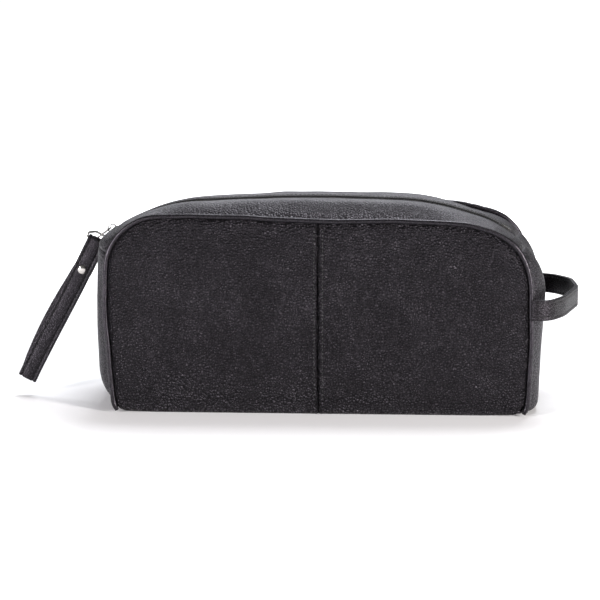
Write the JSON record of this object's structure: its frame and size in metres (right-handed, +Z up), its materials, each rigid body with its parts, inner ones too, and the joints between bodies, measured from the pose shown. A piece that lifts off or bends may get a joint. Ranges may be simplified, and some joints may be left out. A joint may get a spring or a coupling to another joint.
{
  "type": "makeup bag",
  "caption": "Soft black leather makeup bag with padded front and rear panels, piped seams, an arched zip top, a wrist strap on the slider and a side loop handle.",
  "frame": {"origin": "middle of the footprint, on the surface the bag stands on", "axes": "+Z up, the front panel faces -Y, +X runs to the side handle"},
  "size_m": [0.3555, 0.1145, 0.1276],
  "materials": {
    "pebbled_leather": "pebbled full-grain leather, satin",
    "smooth_strap_leather": "lightly grained strap leather, satin",
    "handle_leather": "lightly grained strap leather, satin",
    "piping_leather": "smooth rolled leather, soft shine",
    "lining_cloth": "plain woven nylon lining",
    "foam": "open-cell foam sheet",
    "base_board": "matt stiffener board",
    "cord_filler": "extruded filler cord",
    "zip_tape": "woven polyester tape, matt",
    "zip_coil": "moulded nylon coil, soft shine",
    "bright_nickel": "bright nickel plate",
    "rivet_nickel": "bright nickel plate"
  },
  "bodies": {
    "bag": {"body_panel_left": "pebbled_leather", "body_panel_right": "pebbled_leather", "front_padding": "foam", "rear_padding": "foam", "base_board": "base_board", "body_lining": "lining_cloth", "left_gusset": "pebbled_leather", "right_gusset": "pebbled_leather", "left_gusset_lining": "lining_cloth", "right_gusset_lining": "lining_cloth", "zip_bottom_stop": "bright_nickel", "zip_end_patch": "lining_cloth", "front_piping": "piping_leather", "rear_piping": "piping_leather", "front_piping_cord": "cord_filler", "rear_piping_cord": "cord_filler", "front_strip_left": "pebbled_leather", "front_strip_right": "pebbled_leather", "front_tape_left": "zip_tape", "front_coil_left": "zip_coil", "front_tape_right": "zip_tape", "front_coil_right": "zip_coil", "rear_strip_left": "pebbled_leather", "rear_strip_right": "pebbled_leather", "rear_tape_left": "zip_tape", "rear_coil_left": "zip_coil", "rear_tape_right": "zip_tape", "rear_coil_right": "zip_coil"},
    "slider": {"slider_body": "bright_nickel", "slider_bail": "bright_nickel"},
    "puller": {"puller_tab": "bright_nickel"},
    "ring": {"strap_ring": "bright_nickel"},
    "strap": {"wrist_strap": "smooth_strap_leather", "rivet_cap": "rivet_nickel", "rivet_post": "rivet_nickel"},
    "front_lip": {"front_lip": "pebbled_leather", "front_lip_lining": "lining_cloth", "front_tape_mid": "zip_tape", "front_coil_mid": "zip_coil"},
    "rear_lip": {"rear_lip": "pebbled_leather", "rear_lip_lining": "lining_cloth", "rear_tape_mid": "zip_tape", "rear_coil_mid": "zip_coil"},
    "handle": {"side_handle_outer": "handle_leather", "side_handle_inner": "handle_leather"}
  },
  "joints": [
    {"name": "zip_travel", "type": "hinge", "parent": "bag", "child": "slider", "pos_m": [-0.07013, 0, 0.02528], "axis": [0, 1, 0], "range_deg": [0, 32.2]},
    {"name": "puller_flip", "type": "hinge", "parent": "slider", "child": "puller", "pos_m": [-0.13304, 0, 0.10639], "axis": [0, 1, 0], "range_deg": [0, 112]},
    {"name": "ring_swing", "type": "hinge", "parent": "puller", "child": "ring", "pos_m": [-0.13998, 0, 0.10113], "axis": [0, -1, 0], "range_deg": [-60, 0]},
    {"name": "strap_swing", "type": "hinge", "parent": "ring", "child": "strap", "pos_m": [-0.1415, 0, 0.0982], "axis": [0.887, 0, -0.4618], "range_deg": [-70, 70]},
    {"name": "front_lip_open", "type": "hinge", "parent": "bag", "child": "front_lip", "pos_m": [0, -0.0518, 0.1196], "axis": [1, 0, 0], "range_deg": [0, 60]},
    {"name": "rear_lip_open", "type": "hinge", "parent": "bag", "child": "rear_lip", "pos_m": [0, 0.0518, 0.1196], "axis": [-1, 0, 0], "range_deg": [0, 60]},
    {"name": "handle_swing", "type": "hinge", "parent": "bag", "child": "handle", "pos_m": [0.1364, 0, 0.0668], "axis": [0, 1, 0], "range_deg": [-40, 40]}
  ],
  "couplings": [
    {"joint": "zip_travel", "follows": "puller_flip", "ratio": 0.28571}
  ]
}
